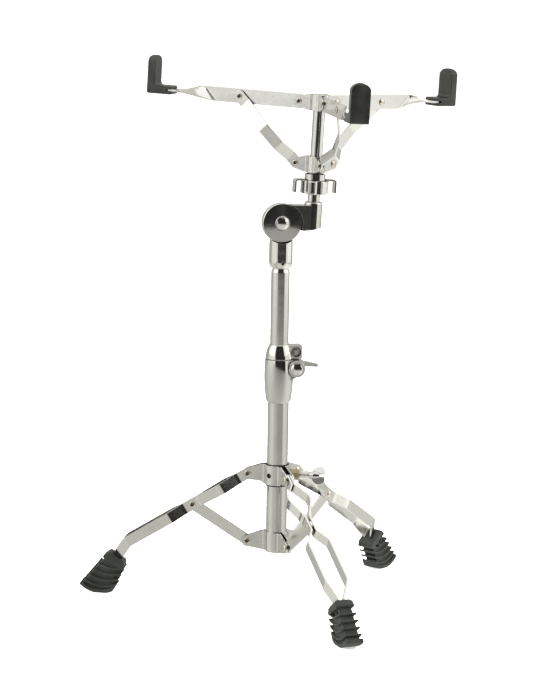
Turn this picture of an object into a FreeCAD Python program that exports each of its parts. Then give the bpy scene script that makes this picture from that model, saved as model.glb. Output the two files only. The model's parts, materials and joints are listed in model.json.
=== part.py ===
"""Snare drum stand: folding tripod, telescopic mast, tilter and three-arm basket. Millimetres, +Z up."""
import math
import os

import FreeCAD
import Part

Vector = FreeCAD.Vector

# Running fits, seats and the reach of cutters
running = 0.08
gap = 0.3
seat_cut = 0.5
cutter = 40.0
tall_cutter = 900.0

# Mast tubes
base_tube_r = 12.7
base_tube_wall = 1.2
base_tube_low = 60.5
upper_tube_r = 11.1
upper_tube_wall = 1.5
upper_tube_low = 182.5
tube_neck_r = 9.4

# Tripod linkage: the leg's pivots on both collars are equally far out, and the knee lies half-way in height
leg_turn = 11.3
pivot_r = 34.8
upper_pivot_z = 155.2
lower_pivot_z = 72.2
knee_r = 101.8
plate_t = 2.2
tripod_ear_r = 7.0
upper_plate_low = 144.0
upper_plate_high = 167.5
lower_plate_low = 62.5
lower_plate_high = 85.5
collar_play = 0.35
collar_bush_t = 1.0
rivet_r = 2.9
upper_head_r = 5.0
lower_head_r = 4.3
knee_head_r = 4.4
wing_bolt_r = 3.0
wing_bolt_length = 34.0
wing_bolt_hub = 26.0
wing_bolt_hub_length = 12.0
wing_bolt_hub_r = 5.0
wing_bolt_root = 28.0
wing_bolt_rise = 17.0
wing_bolt_span = 11.5
wing_bolt_turn = -34.0

# Leg strips
strip_t = 2.2
strip_w = 13.0
strip_loop = 13.6
shin_length = 92.5
strip_bend = 11.0
pinch_half = 9.5
shin_flare = 27.0
strip_end = 26.0
strip_end_half = 3.6
strut_t = 2.5
strut_w = 14.0

# Feet
foot_slope = 57.0
foot_arc_r = 38.0
foot_lead = 12.0
foot_top = 23.0
foot_half_top = 11.6
foot_half_sole = 19.2
foot_half_width = 11.0
fin_pitch = 8.8
fin_count = 5
fin_t = 2.4
sole_extra = 2.2
foot_cap = 10.5
foot_flare = 3.0
foot_core_in = 3.0
foot_hole_r = 2.2
foot_hole_x = 4.5

# Height clamp and memory lock
clamp_low = 243.5
clamp_high = 295.5
clamp_turn = -11.0
clamp_bolt_x = 21.4
clamp_bolt_z = 285.3
clamp_boss_r = 10.2
clamp_half_width = 13.0
clamp_bush_depth = 13.7
clamp_wing_span = 27.0
clamp_wing_high = 27.0
bolt_spare = 18.0
lock_low = 295.8
lock_high = 313.3
lock_r = 12.2
lock_foot_r = 16.5
lock_lug_x = 27.6
lock_lug_half = 8.0
lock_screw_x = 19.0
lock_recess_r = 6.2
lock_recess = 3.5

# Tilter
tilter_z = 458.8
socket_drop = 53.3
socket_length = 28.5
socket_low = tilter_z - socket_drop
socket_high = socket_low + socket_length
socket_r = 14.0
disc_r = 23.5
disc_t = 6.8
disc_crown = 0.6
washer_t = 0.8
tilt = 2.5
tilter_bolt_r = 4.0
bolt_ring_r = 8.7
tilter_wing_hub = 14.0
tilter_wing_low = 9.0
tilter_wing_high = 24.0
tilter_wing_span = 20.5
rod_x = 37.3
rod_r = 7.2
rod_socket_r = 10.8
rod_socket_drop = 9.0
rod_socket_length = 35.5
rod_seat = 8.5
rod_socket_low = tilter_z - rod_socket_drop
rod_socket_high = rod_socket_low + rod_socket_length
rod_low = rod_socket_low + rod_seat

# Basket
hub_rise = 143.2
collar_drop = 72.8
hub_z = tilter_z + hub_rise
collar_z = hub_z - collar_drop
lug_r = 24.5
brace_r = 98.9
hub_half = 9.5
core_t = 2.0
basket_plate_t = 2.0
basket_ear_r = 6.5
basket_rivet_r = 2.5
basket_head_r = 4.3
brace_head_r = 4.2
arm_t = 2.6
arm_w = 17.0
twist_start = 143.0
twist_end = 168.0
arm_end = 208.0
brace_t = 2.4
brace_w = 13.6
brace_bow_low = 11.0
brace_bow_high = 11.9
slot_half = 1.6
nut_drop = 34.5
nut_length = 15.6
nut_low = collar_z - nut_drop
nut_high = nut_low + nut_length
nut_r = 16.7
nut_span = 25.6
nut_strap_t = 2.0
nut_strap_w = 11.0
flange_r = 12.4

# Grippers
grip_in = 183.0
grip_out = 214.0
grip_t = 10.0
grip_half = 11.2
grip_low = 5.0
grip_high = 40.3
grip_arch = 7.0


def spot(plane, u, v):
    """A point of a flat outline."""
    if plane == "xz":
        return Vector(u, 0, v)
    if plane == "xy":
        return Vector(u, v, 0)
    return Vector(0, u, v)


def face(plane, points):
    """A closed outline; a point of four numbers is an arc by way of its first two."""
    edges = []
    first = spot(plane, *points[0])
    here = first
    for p in points[1:]:
        there = spot(plane, *p[-2:])
        if len(p) == 4:
            edges.append(Part.Arc(here, spot(plane, *p[:2]), there).toShape())
        else:
            edges.append(Part.makeLine(here, there))
        here = there
    if here.distanceToPoint(first) > 1e-6:
        edges.append(Part.makeLine(here, first))
    return Part.Face(Part.Wire(edges))


def slab(plane, points, low, high):
    """An outline made thick from low to high along the third axis."""
    along = {"xz": Vector(0, 1, 0), "xy": Vector(0, 0, 1), "yz": Vector(1, 0, 0)}[plane]
    flat = face(plane, points)
    flat.translate(along * low)
    return flat.extrude(along * (high - low))


def spun(points):
    """An outline of radius and height turned round the Z axis."""
    return face("xz", points).revolve(Vector(0, 0, 0), Vector(0, 0, 1), 360)


def turned(shape, angle, axis=(0, 0, 1), point=(0, 0, 0)):
    copy = shape.copy()
    copy.rotate(Vector(*point), Vector(*axis), angle)
    return copy


def moved(shape, x=0, y=0, z=0):
    copy = shape.copy()
    copy.translate(Vector(x, y, z))
    return copy


def flipped(shape):
    """The mirror image across the XZ plane."""
    return shape.mirror(Vector(0, 0, 0), Vector(0, 1, 0))


def box(x0, x1, y0, y1, z0, z1):
    return Part.makeBox(x1 - x0, y1 - y0, z1 - z0, Vector(x0, y0, z0))


def bar(r, start, along, length):
    return Part.makeCylinder(r, length, Vector(*start), Vector(*along))


def cross_bar(r, x, z, y0, y1):
    """A round bar along Y."""
    return bar(r, (x, y0, z), (0, 1, 0), y1 - y0)


def tube(r_in, r_out, low, high):
    return spun([(r_in, low), (r_out, low), (r_out, high), (r_in, high)])


def band(plane, points, thick, bend):
    """A flat ribbon of even thickness along a line of points, with rounded bends."""
    rows = [[], []]
    spots = [Vector(x, y, 0) for x, y in points]
    for i, p in enumerate(spots):
        before = p - spots[i - 1] if i else spots[1] - p
        after = spots[i + 1] - p if i + 1 < len(spots) else before
        before = before * (1 / before.Length)
        after = after * (1 / after.Length)
        left_a = Vector(-before.y, before.x, 0)
        left_b = Vector(-after.y, after.x, 0)
        corner = math.atan2(before.x * after.y - before.y * after.x, before.dot(after))
        for row, half in zip(rows, (thick / 2, -thick / 2)):
            if abs(corner) < 1e-6:
                row.append((p + left_a * half,))
                continue
            side = 1 if corner > 0 else -1
            cut = bend * math.tan(abs(corner) / 2)
            centre = p - before * cut + left_a * (side * bend)
            out = (p - centre) * (1 / (p - centre).Length)
            middle = centre + out * (bend - side * half)
            row.append((p - before * cut + left_a * half, middle, p + after * cut + left_b * half))
    outline = []
    for knot in rows[0]:
        outline.append((knot[0].x, knot[0].y))
        if len(knot) == 3:
            outline.append((knot[1].x, knot[1].y, knot[2].x, knot[2].y))
    for knot in reversed(rows[1]):
        outline.append((knot[-1].x, knot[-1].y))
        if len(knot) == 3:
            outline.append((knot[1].x, knot[1].y, knot[0].x, knot[0].y))
    return face(plane, outline)


def dome_middle(r, rise):
    """Radius and depth of the point half-way down a low dome."""
    ball = (r ** 2 + rise ** 2) / (2 * rise)
    lean = math.asin(r / ball) / 2
    return ball * math.sin(lean), ball - ball * math.cos(lean)


def dome_rivet(r, head_r, y0, y1):
    """A tubular rivet along Y: a low dome on one end, the rolled rim of its hollow tail on the other."""
    rise = 0.38 * head_r
    side, drop = dome_middle(head_r, rise)
    tail_r = 0.84 * head_r
    hole_r = 0.72 * r
    shape = spun([
        (0, y0 - rise),
        (side, y0 - rise + drop, head_r, y0),
        (r, y0),
        (r, y1),
        (tail_r, y1),
        ((tail_r + hole_r) / 2, y1 + 1.1, hole_r, y1 + 0.2),
        (0.8 * hole_r, y1 - 2.0),
        (0, y1 - 2.0),
    ])
    return turned(shape, -90, (1, 0, 0))


def plate_outline(r_in, thick, half_gap, reach, bend):
    """One third of a pressed collar: it wraps the tube, and both ends are bent out as ears."""
    r_out = r_in + thick
    centre_y = half_gap + thick + bend
    centre_x = math.sqrt((r_out + bend) ** 2 - centre_y ** 2)
    away = math.hypot(centre_x, centre_y)
    down = Vector(-centre_x / away, -centre_y / away - 1, 0)
    down = down * (1 / down.Length)

    def point(x, y):
        return (x, y)

    def far(p):
        angle = math.radians(120) - math.atan2(p[1], p[0])
        size = math.hypot(p[0], p[1])
        return (size * math.cos(angle), size * math.sin(angle))

    def middle(r):
        return (r * math.cos(math.radians(60)), r * math.sin(math.radians(60)))

    rows = []
    for y, r, turn_r in ((half_gap, r_in, bend + thick), (half_gap + thick, r_out, bend)):
        rows.append({
            "tip": point(reach, y),
            "start": point(centre_x, y),
            "turn": point(centre_x + down.x * turn_r, centre_y + down.y * turn_r),
            "meet": point(centre_x * r / away, centre_y * r / away),
            "r": r,
        })
    a, b = rows
    return [
        a["tip"],
        a["start"],
        a["turn"] + a["meet"],
        middle(a["r"]) + far(a["meet"]),
        far(a["turn"]) + far(a["start"]),
        far(a["tip"]),
        far(b["tip"]),
        far(b["start"]),
        far(b["turn"]) + far(b["meet"]),
        middle(b["r"]) + b["meet"],
        b["turn"] + b["start"],
        b["tip"],
    ]


def collar_plate(r_in, thick, half_gap, out_r, out_z, ear_r, low, high, root_low, bend, hole_r):
    """A collar plate cut to its side outline, with a round end on each ear."""
    shoulder = r_in + thick + bend
    wrap = r_in + thick + 0.6
    blank = slab("xy", plate_outline(r_in, thick, half_gap, out_r + ear_r + 1, bend), low, high)
    outline = spun([
        (0, low),
        (wrap, low),
        (shoulder, root_low),
        (out_r, out_z - ear_r),
        (out_r + ear_r, out_z, out_r, out_z + ear_r),
        (shoulder, high),
        (0, high),
    ])
    plate = blank.common(outline)
    wide = half_gap + thick + 1
    hole = cross_bar(hole_r, out_r, out_z, -wide, wide)
    return plate.cut(hole).cut(turned(hole, 120)).Solids[0]


def ring_of(shape, turn):
    """Three copies, a third of a turn apart."""
    return [turned(shape, turn + 120 * i) for i in range(3)]


leg_angles = [-90 + leg_turn + 120 * i for i in range(3)]
arm_angles = [-90 + 120 * i for i in range(3)]
knee_z = (upper_pivot_z + lower_pivot_z) / 2
thigh = math.hypot(knee_r - pivot_r, upper_pivot_z - knee_z)
leg_slope = math.degrees(math.atan2(upper_pivot_z - knee_z, knee_r - pivot_r))
strip_inner = 0.4 + strip_t / 2
strip_knee = strut_t / 2 + gap + strip_t / 2
ear_gap_leg = strip_inner + strip_t / 2 + gap
ear_gap_strut = strut_t / 2 + gap
bend_at = thigh + shin_length
foot_bend = foot_slope - leg_slope
collar_in = base_tube_r + collar_play + collar_bush_t
tube_end = socket_high - 5


def bend_point():
    """Radius and height where the leg turns down into its foot."""
    slope = math.radians(leg_slope)
    return pivot_r + bend_at * math.cos(slope), upper_pivot_z - bend_at * math.sin(slope)


def leg_strip():
    """Outer strip of a leg lying along X from its upper pivot: two loops and a pinch at the knee."""
    lean = math.radians(foot_bend)
    drop = foot_top + strip_end
    tip = (bend_at + drop * math.cos(lean), -drop * math.sin(lean))
    side = band("xz", [(0, 0), (bend_at, 0), tip], strip_w, strip_w)
    side.translate(Vector(0, -cutter, 0))
    side = side.extrude(Vector(0, 2 * cutter, 0))
    side = side.fuse(cross_bar(strip_w / 2, 0, 0, -cutter, cutter))
    mouth = bend_at + foot_top * math.cos(lean)
    line = [
        (-strip_w, strip_inner),
        (0.15 * thigh, strip_inner),
        (0.45 * thigh, strip_loop),
        (0.76 * thigh, strip_loop),
        (thigh - pinch_half, strip_knee),
        (thigh + pinch_half, strip_knee),
        (thigh + shin_flare, strip_loop),
        (bend_at + 1.0, strip_loop),
        (mouth, strip_end_half),
        (mouth + cutter, strip_end_half),
    ]
    plan = band("xy", line, strip_t, strip_bend)
    plan.translate(Vector(0, 0, -3 * cutter))
    plan = plan.extrude(Vector(0, 0, 6 * cutter))
    strip = side.common(plan)
    strip = strip.cut(cross_bar(rivet_r + running, 0, 0, -cutter, cutter))
    strip = strip.cut(cross_bar(rivet_r, thigh, 0, -cutter, cutter))
    strip = turned(strip, leg_slope, (0, 1, 0))
    return moved(strip, pivot_r, 0, upper_pivot_z).Solids[0]


def foot_fin(centre, thick, half):
    """A curved fin of the foot, in its side outline; its lowest point leads towards the outside."""
    inner_r = foot_arc_r - thick
    near = half - foot_lead
    far = -half - foot_lead
    return [
        (centre + math.sqrt(foot_arc_r ** 2 - far ** 2), -half),
        (centre + foot_arc_r, foot_lead, centre + math.sqrt(foot_arc_r ** 2 - near ** 2), half),
        (centre + math.sqrt(inner_r ** 2 - near ** 2), half),
        (centre + inner_r, foot_lead, centre + math.sqrt(inner_r ** 2 - far ** 2), -half),
    ]


def foot(strips):
    """Rubber foot: chamfered cap, tapered core and curved fins, cut flat where it stands."""
    bend_r, bend_z = bend_point()
    slope = math.radians(foot_slope)
    lift = foot_lead * math.cos(slope)
    centre = (bend_z + lift - foot_arc_r + seat_cut) / math.sin(slope)
    sole = centre + foot_arc_r
    cap_low = foot_top + foot_cap
    cap_half = foot_half_top + foot_flare
    core_half = foot_half_width - foot_core_in
    cap = slab("xz", [
        (foot_top, -foot_half_top + 1.5),
        (foot_top + 1.5, -foot_half_top),
        (cap_low - 2, -cap_half),
        (cap_low, -cap_half + 1.5),
        (cap_low, cap_half - 1.5),
        (cap_low - 2, cap_half),
        (foot_top + 1.5, foot_half_top),
        (foot_top, foot_half_top - 1.5),
    ], -foot_half_width, foot_half_width)
    across = slab("xy", [
        (foot_top, -foot_half_width + 3),
        (foot_top + 3, -foot_half_width),
        (sole + 5, -foot_half_width),
        (sole + 5, foot_half_width),
        (foot_top + 3, foot_half_width),
        (foot_top, foot_half_width - 3),
    ], -2 * cutter, 2 * cutter)
    core = slab("xz", [
        (foot_top + 5, -foot_half_top + 1),
        (sole, -foot_half_sole + 2.6),
        (sole, foot_half_sole - 2.6),
        (foot_top + 5, foot_half_top - 1),
    ], -core_half, core_half)
    middle = cross_bar(foot_arc_r - 0.5, centre, foot_lead, -cutter, cutter)
    core = core.common(middle.fuse(box(0, centre, -cutter, cutter, -2 * cutter, 2 * cutter)))
    shape = cap.fuse(core)
    for i in range(fin_count):
        half = foot_half_sole - i * (foot_half_sole - cap_half) / fin_count
        thick = fin_t + sole_extra if i == 0 else fin_t
        outline = foot_fin(centre - i * fin_pitch, thick, half)
        shape = shape.fuse(slab("xz", outline, -foot_half_width, foot_half_width))
    shape = shape.common(across)
    for w in (-foot_hole_x, foot_hole_x):
        shape = shape.cut(cross_bar(foot_hole_r, cap_low + 3.0, w, -foot_half_width, -core_half + 3.5))
    shape = turned(shape, foot_slope, (0, 1, 0))
    shape = moved(shape, bend_r, 0, bend_z)
    shape = shape.cut(box(0, tall_cutter, -cutter, cutter, -cutter, 0))
    for strip in strips:
        shape = shape.cut(strip)
    return max(shape.Solids, key=lambda s: s.Volume)


def leg_strut():
    """Flat brace from the lower collar to the knee."""
    length = math.hypot(knee_r - pivot_r, knee_z - lower_pivot_z)
    half = strut_w / 2
    strut = slab("xz", [
        (0, -half),
        (length, -half),
        (length + half, 0, length, half),
        (0, half),
        (-half, 0, 0, -half),
    ], -strut_t / 2, strut_t / 2)
    for x in (0, length):
        strut = strut.cut(cross_bar(rivet_r + running, x, 0, -cutter, cutter))
    rise = math.degrees(math.atan2(knee_z - lower_pivot_z, knee_r - pivot_r))
    return moved(turned(strut, -rise, (0, 1, 0)), pivot_r, 0, lower_pivot_z)


def wings(root, span, low, high, thick, tip):
    """A pair of finger wings in the XZ plane, between two heights, thinner towards their tips."""
    middle = (low + high) / 2
    one = slab("xz", [
        (root, low),
        (span - 5, low + 2),
        (span, middle + 1, span - 5, high),
        (span - 11, high - 0.5),
        (root, high - 4),
    ], -thick / 2, thick / 2)
    plan = [(root, -thick / 2), (span, -tip / 2), (span, tip / 2), (root, thick / 2)]
    taper = slab("xy", plan, low - 1, high + 1)
    one = one.common(taper)
    return one.fuse(one.mirror(Vector(0, 0, 0), Vector(1, 0, 0)))


def wing_nut(hub_r, low, high, span, wing_low, wing_high, root, bore):
    """Wing nut on the Z axis: a tapered hub and two wings."""
    hub = spun([(0, low), (hub_r, low), (hub_r, low + 3), (hub_r - 1.5, high), (0, high)])
    shape = hub.fuse(wings(hub_r / 2, span, wing_low, wing_high, root, 3.0))
    return shape.cut(bar(bore, (0, 0, low - 1), (0, 0, 1), high + cutter)).Solids[0]


def wing_bolt():
    """Wing bolt of the upper collar, lying along X, its tip short of the tube."""
    tip = base_tube_r + gap
    shank = bar(wing_bolt_r, (0, 0, tip), (0, 0, 1), wing_bolt_length)
    start = tip + wing_bolt_hub
    end = start + wing_bolt_hub_length
    hub = spun([
        (0, start),
        (wing_bolt_hub_r - 0.8, start),
        (wing_bolt_hub_r, start + 5.0),
        (wing_bolt_hub_r - 1.0, end),
        (0, end),
    ])
    root = tip + wing_bolt_root
    shape = shank.fuse(hub).fuse(wings(2.0, wing_bolt_span, root, root + wing_bolt_rise, 4.0, 3.0))
    shape = turned(shape, wing_bolt_turn, (0, 0, 1))
    shape = turned(shape, 90, (0, 1, 0))
    return moved(shape, 0, 0, upper_pivot_z).Solids[0]


def collar_nut():
    """Six-sided nut on the outside of one collar plate."""
    start = collar_in + plate_t
    corners = [(6.6 * math.cos(math.radians(60 * i)), 6.6 * math.sin(math.radians(60 * i))) for i in range(6)]
    nut = slab("xy", corners, start - 2, start + 10.5)
    nut = nut.cut(bar(wing_bolt_r + running, (0, 0, 0), (0, 0, 1), cutter))
    nut = moved(turned(nut, 90, (0, 1, 0)), 0, 0, upper_pivot_z)
    return nut.cut(bar(start, (0, 0, 0), (0, 0, 1), 2 * upper_pivot_z)).Solids[0]


def tripod(parts):
    """Base tube, both collars, legs, struts and feet."""
    tube_top = clamp_high - clamp_bush_depth
    parts["base_tube"] = tube(base_tube_r - base_tube_wall, base_tube_r, base_tube_low, tube_top)
    upper = collar_plate(
        collar_in, plate_t, ear_gap_leg, pivot_r, upper_pivot_z, tripod_ear_r,
        upper_plate_low, upper_plate_high, upper_pivot_z - tripod_ear_r - 1.6, 3.0, rivet_r,
    )
    lower = collar_plate(
        base_tube_r, plate_t, ear_gap_strut, pivot_r, lower_pivot_z, tripod_ear_r,
        lower_plate_low, lower_plate_high, lower_plate_low, 3.0, rivet_r,
    )
    window = turned(bar(wing_bolt_r + running, (0, 0, upper_pivot_z), (1, 0, 0), cutter), 60)
    upper = upper.cut(window)
    bush = tube(base_tube_r + collar_play, collar_in, upper_plate_low - 2.0, upper_plate_high + 0.6)
    parts["upper_collar_bush"] = turned(bush.cut(window), leg_angles[0])
    for i, shape in enumerate(ring_of(upper, leg_angles[0])):
        parts["upper_collar_plate_%d" % (i + 1)] = shape
    for i, shape in enumerate(ring_of(lower, leg_angles[0])):
        parts["lower_collar_plate_%d" % (i + 1)] = shape
    high = ear_gap_leg + plate_t
    low = ear_gap_strut + plate_t
    knee = strip_knee + strip_t / 2
    upper_rivet = moved(dome_rivet(rivet_r, upper_head_r, -high, high), pivot_r, 0, upper_pivot_z)
    lower_rivet = moved(dome_rivet(rivet_r, lower_head_r, -low, low), pivot_r, 0, lower_pivot_z)
    knee_rivet = moved(dome_rivet(rivet_r, knee_head_r, -knee, knee), knee_r, 0, knee_z)
    parts["upper_collar_rivets"] = Part.makeCompound(ring_of(upper_rivet, leg_angles[0]))
    parts["lower_collar_rivets"] = Part.makeCompound(ring_of(lower_rivet, leg_angles[0]))
    strip = leg_strip()
    twin = flipped(strip)
    shoe = foot([strip, twin])
    strut = leg_strut()
    for i, angle in enumerate(leg_angles):
        parts["leg_%d_strip_a" % (i + 1)] = turned(strip, angle)
        parts["leg_%d_strip_b" % (i + 1)] = turned(twin, angle)
        parts["leg_%d_foot" % (i + 1)] = turned(shoe, angle)
        parts["leg_%d_knee_rivet" % (i + 1)] = turned(knee_rivet, angle)
        parts["leg_%d_strut" % (i + 1)] = turned(strut, angle)
    parts["collar_nut"] = turned(collar_nut(), leg_angles[0] + 60)
    parts["collar_wing_bolt"] = turned(wing_bolt(), leg_angles[0] + 60)


def height_clamp():
    """Die-cast clamp on top of the base tube: barrel body, split boss for its bolt."""
    step = clamp_high - clamp_bush_depth
    body = spun([
        (base_tube_r, clamp_low),
        (base_tube_r + 0.8, clamp_low),
        (base_tube_r + 2.2, clamp_low + 2),
        (base_tube_r + 4.7, (clamp_low + clamp_high) / 2 + 4, base_tube_r + 4.0, clamp_high),
        (base_tube_r, clamp_high),
    ])
    top = clamp_bolt_z + clamp_boss_r
    boss = slab("xz", [
        (6, clamp_bolt_z - 2 * clamp_boss_r),
        (clamp_bolt_x, clamp_bolt_z - clamp_boss_r),
        (clamp_bolt_x + clamp_boss_r, clamp_bolt_z, clamp_bolt_x, top),
        (6, top),
    ], -clamp_half_width + 3, clamp_half_width - 3)
    disc = cross_bar(clamp_boss_r - 0.4, clamp_bolt_x, clamp_bolt_z, -clamp_half_width, clamp_half_width)
    shape = body.fuse(boss).fuse(disc)
    shape = shape.cut(bar(base_tube_r, (0, 0, 0), (0, 0, 1), step))
    shape = shape.cut(bar(base_tube_r + 0.9, (0, 0, step), (0, 0, 1), cutter))
    shape = shape.cut(box(0, cutter, -0.9, 0.9, clamp_low + 12, clamp_high + 1))
    return shape.cut(cross_bar(3.0 + gap, clamp_bolt_x, clamp_bolt_z, -cutter, cutter)).Solids[0]


def dome_bolt(shank_r, ring_r, dome_r, length):
    """Bolt along Y: a flat ring and a flat-domed head in front, its shank behind."""
    rise = dome_r * 0.3
    side, drop = dome_middle(dome_r, rise)
    shape = spun([
        (0, -1.4 - rise),
        (side, -1.4 - rise + drop, dome_r, -1.4),
        (ring_r - 0.5, -1.4),
        (ring_r, -0.9),
        (ring_r, 0),
        (shank_r, 0),
        (shank_r, length),
        (0, length),
    ])
    return turned(shape, -90, (1, 0, 0))


def memory_lock():
    """Split ring on the upper tube with a rounded lug for its screw."""
    middle = (lock_low + lock_high) / 2
    ring = spun([
        (upper_tube_r, lock_low),
        (lock_foot_r - 0.5, lock_low),
        (lock_foot_r, lock_low + 0.8),
        (0.3 * lock_r + 0.7 * lock_foot_r, middle, lock_r, lock_high - 0.6),
        (lock_r - 0.5, lock_high),
        (upper_tube_r, lock_high),
    ])
    low, high, r = lock_low + 0.8, lock_high - 0.8, 3.0
    c = r * (1 - math.sqrt(0.5))
    half, x1 = lock_lug_half, lock_lug_x
    lug = slab("xz", [
        (6, low),
        (x1 - r, low),
        (x1 - c, low + c, x1, low + r),
        (x1, high - r),
        (x1 - c, high - c, x1 - r, high),
        (6, high),
    ], -half, half)
    plan = slab("xy", [
        (0, -half),
        (x1 - r, -half),
        (x1 - c, -half + c, x1, -half + r),
        (x1, half - r),
        (x1 - c, half - c, x1 - r, half),
        (0, half),
    ], lock_low, lock_high)
    shape = ring.fuse(lug.common(plan))
    shape = shape.cut(bar(upper_tube_r + running, (0, 0, 0), (0, 0, 1), tall_cutter))
    shape = shape.cut(box(0, cutter, -0.8, 0.8, lock_low - 1, lock_high + 1))
    shape = shape.cut(cross_bar(2.5, lock_screw_x, middle, -cutter, cutter))
    shape = shape.cut(cross_bar(lock_recess_r, lock_screw_x, middle, -cutter, -half + lock_recess))
    return max(shape.Solids, key=lambda s: s.Volume)


def lock_screw():
    """Square-headed screw sunk in the lock's lug."""
    middle = (lock_low + lock_high) / 2
    x = lock_screw_x
    front = -lock_lug_half + lock_recess
    shank = cross_bar(2.5, x, middle, front, lock_lug_half - 0.3)
    flange = cross_bar(0.7 * lock_recess_r, x, middle, front - 1.2, front)
    head = box(x - 2.4, x + 2.4, front - 3.4, front - 1.2, middle - 2.4, middle + 2.4)
    return shank.fuse(flange).fuse(head).Solids[0]


def tilter_base():
    """Tube socket that runs up behind the front disc, which has a slightly crowned face."""
    socket = spun([
        (tube_neck_r, socket_low),
        (socket_r - 2.2, socket_low),
        (socket_r - 0.5, socket_low + 3.5, socket_r, socket_low + 8),
        (socket_r, socket_high),
        (0, socket_high),
        (0, tube_end),
        (tube_neck_r, tube_end),
    ])
    back = -washer_t / 2 - gap
    front = back - disc_t
    rim = disc_r - 0.7
    side, drop = dome_middle(rim, disc_crown)
    disc = turned(spun([
        (0, front - disc_crown),
        (side, front - disc_crown + drop, rim, front),
        (disc_r, front + 0.7),
        (disc_r, back),
        (0, back),
    ]), -90, (1, 0, 0))
    disc = moved(disc, 0, 0, tilter_z)
    neck = bar(socket_r, (0, 0, socket_high - 2), (0, 0, 1), tilter_z - disc_r / 2 - socket_high + 2)
    neck = neck.common(box(-disc_r, disc_r, -disc_r, back, socket_high - 3, tilter_z))
    neck = neck.cut(cross_bar(disc_r + gap, 0, tilter_z, -cutter, front + 1.5))
    shape = socket.fuse(neck).fuse(disc)
    shape = shape.cut(cross_bar(tilter_bolt_r, 0, tilter_z, -cutter, cutter))
    shape = shape.cut(cross_bar(bolt_ring_r + 0.2, 0, tilter_z, -cutter, front - disc_crown + 0.2))
    return shape.cut(cross_bar(2.0, 0, socket_low + 6, -cutter, cutter)).Solids[0]


def tilter_arm():
    """Back disc, rod socket and arm block in one casting; the block comes forward beside the front disc."""
    front = washer_t / 2
    back = front + disc_t
    disc = turned(spun([
        (0, front),
        (disc_r - 0.6, front),
        (disc_r - 0.6, back - 1.0),
        (disc_r - 1.6, back),
        (0, back),
    ]), -90, (1, 0, 0))
    disc = moved(disc, 0, 0, tilter_z)
    flush = 0.35 * rod_socket_r
    face_y = -math.sqrt(rod_socket_r ** 2 - flush ** 2)
    right = rod_x + flush
    outline = [
        (0, tilter_z + disc_r - 1.8),
        (right, tilter_z + disc_r - 1.2),
        (right, rod_socket_low + 4),
        (0.85 * disc_r, rod_socket_low + 0.8),
        (0, rod_socket_low + 0.8),
    ]
    block = slab("xz", outline, face_y, 0)
    block = block.cut(cross_bar(disc_r + 2 * gap, 0, tilter_z, -cutter, front))
    block = block.fuse(slab("xz", outline, 0, back).cut(cross_bar(disc_r + 2 * gap, 0, tilter_z, -1, front)))
    socket = spun([
        (0, rod_socket_low),
        (rod_socket_r, rod_socket_low),
        (rod_socket_r, rod_socket_high - 2.5),
        (rod_socket_r - 0.8, rod_socket_high - 0.8, rod_socket_r - 2.5, rod_socket_high),
        (0, rod_socket_high),
    ])
    socket = moved(socket, rod_x, 0, 0)
    low = rod_x - rod_socket_r
    slope = slab("xz", [
        (low, rod_socket_low - 9),
        (low + cutter, rod_socket_low - 9),
        (low + cutter, rod_socket_low + cutter / 4),
        (low, rod_socket_low),
    ], -cutter, cutter)
    shape = disc.fuse(block).fuse(socket.cut(slope))
    shape = shape.cut(bar(rod_r, (rod_x, 0, rod_low), (0, 0, 1), tall_cutter))
    shape = shape.cut(cross_bar(tilter_bolt_r + running, 0, tilter_z, -cutter, cutter))
    return max(shape.Solids, key=lambda s: s.Volume)


def upper_tube():
    """Upper mast tube, drawn in to a narrower neck where it enters the tilter's socket."""
    inner, neck_in = upper_tube_r - upper_tube_wall, tube_neck_r - upper_tube_wall
    below, above = socket_low - 5.5, socket_low - 0.8
    return spun([
        (inner, upper_tube_low),
        (upper_tube_r, upper_tube_low),
        (upper_tube_r, below),
        (tube_neck_r, above),
        (tube_neck_r, tube_end),
        (neck_in, tube_end),
        (neck_in, above),
        (inner, below),
    ])


def mast(parts):
    """Height clamp, memory lock, upper tube and the fixed half of the tilter."""
    step = clamp_high - clamp_bush_depth
    parts["height_clamp"] = turned(height_clamp(), clamp_turn)
    parts["clamp_bush"] = tube(upper_tube_r + running, base_tube_r + 0.9, step, clamp_high)
    bolt = dome_bolt(3.0, clamp_boss_r - 0.3, 7.2, 2 * clamp_half_width + bolt_spare)
    bolt = moved(bolt, clamp_bolt_x, -clamp_half_width, clamp_bolt_z)
    parts["clamp_bolt"] = turned(bolt, clamp_turn)
    reach = lock_lug_x + 2.4
    nut = wing_nut(
        7.0, 0, reach - clamp_half_width + 4, clamp_wing_span,
        reach - clamp_half_width, clamp_wing_high, 7.0, 3.0 + running,
    )
    nut = turned(turned(nut, -90, (1, 0, 0)), 8, (0, 1, 0))
    nut = moved(nut, clamp_bolt_x, clamp_half_width + gap, clamp_bolt_z)
    parts["clamp_wing_nut"] = turned(nut, clamp_turn)
    parts["memory_lock"] = memory_lock()
    parts["lock_screw"] = lock_screw()
    pin = cross_bar(2.0, 0, socket_low + 6, -socket_r + 3.5, socket_r - 3.5)
    parts["upper_tube"] = upper_tube().cut(pin)
    parts["tilter_base"] = tilter_base()
    parts["tilter_base_pin"] = pin
    front = -washer_t / 2 - gap - disc_t
    bolt = dome_bolt(tilter_bolt_r, bolt_ring_r, bolt_ring_r - 1.1, 2 * disc_t + bolt_spare)
    parts["tilter_bolt"] = moved(bolt, 0, front - disc_crown + 0.2, tilter_z)
    nut = wing_nut(
        9.0, 0, tilter_wing_hub, tilter_wing_span,
        tilter_wing_low, tilter_wing_high, 5.0, tilter_bolt_r + running,
    )
    nut = turned(turned(nut, -90, (1, 0, 0)), -48, (0, 1, 0))
    parts["tilter_wing_nut"] = moved(nut, 0, washer_t / 2 + disc_t + gap, tilter_z)


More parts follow.
